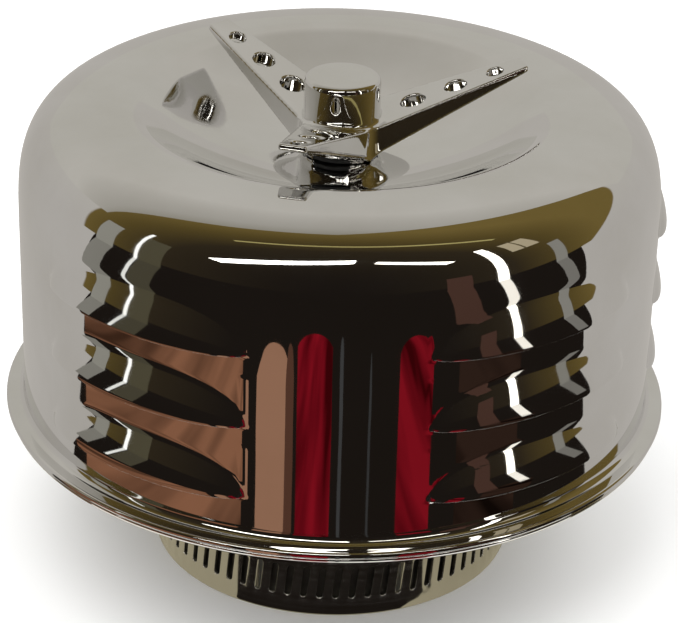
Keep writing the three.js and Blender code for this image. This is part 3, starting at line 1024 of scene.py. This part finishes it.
def wedge(name, from_angle, to_angle, color, near, far, height, streaks=0.0):
    """A strip laid on the floor in front, fanning out as a round wall mirrors it: it fills the
    wall's reflection between two angles from -Y and two distances from the wall."""
    steps = 12
    edge = []
    for reach, angles in ((near, (from_angle, to_angle)), (far, (to_angle, from_angle))):
        for step, degrees in enumerate(np.linspace(*angles, steps)):
            a = math.radians(degrees)
            bow = 0.14 * (2 * step / (steps - 1) - 1) ** 2 if reach == far else 0
            distance = reach * (1 - bow)
            edge.append((
                WALL_R * MM * math.sin(a) + distance * math.sin(2 * a),
                -WALL_R * MM * math.cos(a) - distance * math.cos(2 * a),
                height,
            ))
    return card(name, edge, color, 1.0, streaks)


def standing(name, from_angle, to_angle, low, high, color, strength=1.0, distance=1.5):
    """An upright card in the room, between two angles from -Y and two heights in metres."""
    a, b = math.radians(from_angle), math.radians(to_angle)
    left = (distance * math.sin(a), -distance * math.cos(a))
    right = (distance * math.sin(b), -distance * math.cos(b))
    corners = [(*left, low), (*right, low), (*right, high), (*left, high)]
    return card(name, corners, color, strength)


def tent_roof():
    """The light grey roof over the object, dimmer towards its front edge."""
    corners = [(-0.5, 0.0), (-0.1, -0.023), (0, -0.023), (0.5, 0.33), (0.5, 0.8), (-0.5, 0.8)]
    obj = card("tent_roof", [(x, y, 0.313) for x, y in corners], TENT_TOP)
    nodes, links = obj.data.materials[0].node_tree.nodes, obj.data.materials[0].node_tree.links
    place = nodes.new("ShaderNodeTexCoord")
    split = nodes.new("ShaderNodeSeparateXYZ")
    across = nodes.new("ShaderNodeMapRange")
    across.inputs["From Min"].default_value = -0.03
    across.inputs["From Max"].default_value = 0.45
    links.new(place.outputs["Object"], split.inputs[0])
    links.new(split.outputs["Y"], across.inputs["Value"])
    graded = color_ramp(nodes, links, across.outputs["Result"], [
        (0.0, (0.30, 0.28, 0.23)),
        (0.12, (0.41, 0.39, 0.345)),
        (0.45, TENT_TOP),
        (1.0, (0.52, 0.50, 0.45)),
    ])
    links.new(graded, nodes["Emission"].inputs["Color"])


def floor_band(name, from_angle, to_angle, color, strength=1.0):
    """A strip of the far floor that carries an upright card's colour towards the viewer."""
    near, far = 0.22, 1.49
    corners = []
    for radius, degrees in ((near, from_angle), (near, to_angle), (far, to_angle), (far, from_angle)):
        a = math.radians(degrees)
        corners.append((radius * math.sin(a), -radius * math.cos(a), 0.0008))
    return card(name, corners, color, strength)


def floor_cards():
    """The dark floor in front, the grey floor behind, and what lies close round the object."""
    edge = [
        (FLOOR_HALF, -0.023), (0.085, -0.023), (0.055, -0.052), (0.022, -0.0315), (0.0, -0.034),
        (-0.018, -0.0305), (-0.050, -0.052), (-0.085, -0.017), (-FLOOR_HALF, -0.017),
    ]
    front = [(-FLOOR_HALF, -FLOOR_HALF), (FLOOR_HALF, -FLOOR_HALF), *edge]
    card("dark_floor", [(x, y, 0.0005) for x, y in front], ROOM_DARK)
    card("grey_floor", rectangle(FLOOR_HALF, FLOOR_HALF, 0.0002), TENT_LOW)
    card("shaded_floor", rectangle(0.08, 0.06, 0.0003), (0.40, 0.36, 0.25))
    tent_roof()
    ring = []
    for radius, sweep in ((0.066, 1), (0.094, -1)):
        for a in np.linspace(-1.1 * sweep, 1.1 * sweep, 24):
            ring.append((radius * math.sin(a), -radius * math.cos(a), 0.0006))
    card("lit_floor_ring", ring, LAMP_WHITE, 1.1)


def front_wedges():
    """Tan, red and grey strips that stand in the wall's mirror image of the front floor."""
    wedge("tan_left", -50, -16, (0.27, 0.12, 0.065), 0.04, 0.150, 0.0008, 34)
    wedge("tan_strip", -13.5, -7.4, (0.32, 0.165, 0.10), 0.02, 0.136, 0.0010)
    wedge("brown_edge", -8.4, -7.0, (0.09, 0.04, 0.025), 0.02, 0.136, 0.0012)
    wedge("red_left", -6.4, -0.4, (0.25, 0.006, 0.014), 0.02, 0.156, 0.0011, 60)
    wedge("grey_stripe_left", 0.9, 1.5, (0.05, 0.05, 0.05), 0.02, 0.15, 0.0013)
    wedge("grey_stripe_right", 6.0, 6.4, (0.04, 0.04, 0.04), 0.02, 0.13, 0.0013)
    wedge("red_right", 11.2, 17.2, (0.23, 0.006, 0.013), 0.02, 0.150, 0.0011, 50)
    wedge("brown_right", 22, 34, (0.03, 0.016, 0.011), 0.04, 0.2, 0.0008, 30)


def ceiling_lamp(name, corners, color, strength):
    card(name, [(x, y, CEILING_Z) for x, y in corners], color, strength)


def ceiling_lamps():
    left = [(-2.6, -3.0), (0.2, -1.80), (0.2, -1.48), (-2.6, -2.5)]
    right = [(0.45, -1.80), (1.8, -2.2), (1.8, -1.9), (0.45, -1.6)]
    dim = [(-0.8, -0.62), (1.3, -0.45), (1.3, -0.38), (-0.8, -0.56)]
    ceiling_lamp("ceiling_lamp", left, LAMP_WHITE, 6.0)
    ceiling_lamp("ceiling_lamp_right", right, WINDOW_WHITE, 4.0)
    ceiling_lamp("ceiling_lamp_far", dim, (0.42, 0.36, 0.14), 1.0)


def room_sides():
    """Windows and plain panels at the sides of the room, and their colours on the far floor."""
    standing("window_right", 54, 58, 0.0, 1.3, WINDOW_WHITE, 3.0)
    standing("grey_right", 77, 82, 0.0, 0.6, (0.26, 0.25, 0.22))
    standing("tan_right", 36, 45, 0.0, 0.32, SIDE_TAN)
    standing("window_right_high", 64, 76, 0.75, 1.25, (0.45, 0.38, 0.25))
    standing("window_bar_right", 69.3, 70.2, 0.7, 1.3, (0.10, 0.08, 0.04), distance=1.45)
    floor_band("floor_window_right", 54, 58, WINDOW_WHITE, 1.2)
    floor_band("floor_grey_right", 77, 82, (0.20, 0.19, 0.17))
    floor_band("floor_tan_right", 36, 45, SIDE_TAN)
    floor_band("floor_grey_left", -88, -80, (0.24, 0.23, 0.20))
    floor_band("floor_line_left", -71, -69.5, LINE_WHITE)
    floor_band("floor_olive_left", -69, -60, (0.07, 0.062, 0.04))
    standing("grey_left", -88, -80, 0.0, 0.62, (0.30, 0.29, 0.25))
    standing("line_left", -71, -69.5, 0.0, 0.9, LINE_WHITE, 1.5)
    standing("olive_left", -69, -60, 0.0, 0.7, (0.085, 0.075, 0.045))


def world():
    """Pale for the eye and the floor. Mirrors see a light grey tent behind and a dark room,
    olive at its sides, in front."""
    scene_world = bpy.data.worlds.new("studio")
    bpy.context.scene.world = scene_world
    scene_world.use_nodes = True
    nodes, links = scene_world.node_tree.nodes, scene_world.node_tree.links
    nodes.clear()
    place = nodes.new("ShaderNodeTexCoord")
    split = nodes.new("ShaderNodeSeparateXYZ")
    links.new(place.outputs["Generated"], split.inputs[0])

    def remap(source, low, high):
        node = nodes.new("ShaderNodeMapRange")
        node.inputs["From Min"].default_value = low
        node.inputs["From Max"].default_value = high
        links.new(source, node.inputs["Value"])
        return node.outputs["Result"]

    def arithmetic(operation, a, b):
        node = nodes.new("ShaderNodeMath")
        node.operation = operation
        links.new(a, node.inputs[0])
        if isinstance(b, float):
            node.inputs[1].default_value = b
        else:
            links.new(b, node.inputs[1])
        return node.outputs[0]

    def mix(factor, a, b):
        node = nodes.new("ShaderNodeMixRGB")
        links.new(factor, node.inputs["Fac"])
        for socket, value in ((node.inputs[1], a), (node.inputs[2], b)):
            if isinstance(value, tuple):
                socket.default_value = (*value, 1)
            else:
                links.new(value, socket)
        return node.outputs["Color"]

    height = remap(split.outputs["Z"], 0.0, 1.0)
    tent = color_ramp(nodes, links, height, [(0.0, TENT_LOW), (1.0, TENT_TOP)])
    depth = remap(split.outputs["Y"], -1.0, 0.2)
    room = color_ramp(nodes, links, depth, [
        (0.0, ROOM_DARK),
        (0.45, (0.03, 0.022, 0.012)),
        (0.75, (0.10, 0.07, 0.02)),
        (1.0, (0.17, 0.12, 0.035)),
    ])
    rightward = arithmetic("MAXIMUM", split.outputs["X"], 0.0)
    lean = arithmetic("MULTIPLY", arithmetic("MULTIPLY", rightward, split.outputs["Z"]), -1.2)
    rise = arithmetic("MULTIPLY", split.outputs["Z"], -0.07)
    edge = arithmetic("ADD", split.outputs["Y"], arithmetic("ADD", lean, rise))
    behind = remap(edge, 0.10, 0.12)
    mirrored = mix(behind, room, tent)
    path = nodes.new("ShaderNodeLightPath")
    seen = mix(path.outputs["Is Glossy Ray"], (1.05, 1.05, 1.05), mirrored)
    background = nodes.new("ShaderNodeBackground")
    links.new(seen, background.inputs["Color"])
    output = nodes.new("ShaderNodeOutputWorld")
    links.new(background.outputs[0], output.inputs["Surface"])


def area_light(name, location, size, power):
    data = bpy.data.lights.new(name, "AREA")
    data.shape = "RECTANGLE"
    data.size, data.size_y = size
    data.energy = power
    obj = bpy.data.objects.new(name, data)
    obj.location = location
    obj.rotation_euler = (-Vector(location)).to_track_quat("-Z", "Y").to_euler()
    obj.visible_glossy = False
    bpy.context.scene.collection.objects.link(obj)


def camera():
    """A long lens in front, about 27 degrees above the flange, rolled slightly."""
    data = bpy.data.cameras.new("camera")
    data.sensor_width = 36
    data.lens = 138.5
    data.clip_end = 100
    obj = bpy.data.objects.new("camera", data)
    bpy.context.scene.collection.objects.link(obj)
    distance, height = 0.4501, 0.2782
    pitch, yaw, roll = math.radians(27.17), math.radians(0.06), math.radians(1.56)
    turn = Matrix.Rotation(-yaw, 4, "Z") @ Matrix.Rotation(math.pi / 2 - pitch, 4, "X")
    obj.matrix_world = (
        Matrix.Translation((0, -distance, height)) @ turn @ Matrix.Rotation(roll, 4, "Z")
    )
    bpy.context.scene.camera = obj
    bpy.context.scene.view_settings.view_transform = "Standard"


# ---- build -------------------------------------------------------------------------------------
camera()
world()
floor()
floor_cards()
front_wedges()
ceiling_lamps()
room_sides()
area_light("key", (-0.5, -0.5, 1.3), (1.2, 1.2), 14)
area_light("fill", (0.9, 0.3, 1.0), (1.0, 1.0), 7)

cover()
base_pan()
neck()
rivet("left")
rivet("right")
stud()
hex_nut("stud_nut_upper")
hex_nut("stud_nut_lower")
spinner()
seal_washer()
filter_media()
expanded_screen("filter_outer_screen", 84)
expanded_screen("filter_inner_screen", 66)
end_seal("top")
end_seal("bottom")
clamp_band()
clamp_housing()
clamp_screw()
for kept in ("stud_bridge", "stud_lock_washer"):
    frame["nodes"][kept].data.materials.clear()
    frame["nodes"][kept].data.materials.append(MATERIALS["zinc_steel"])
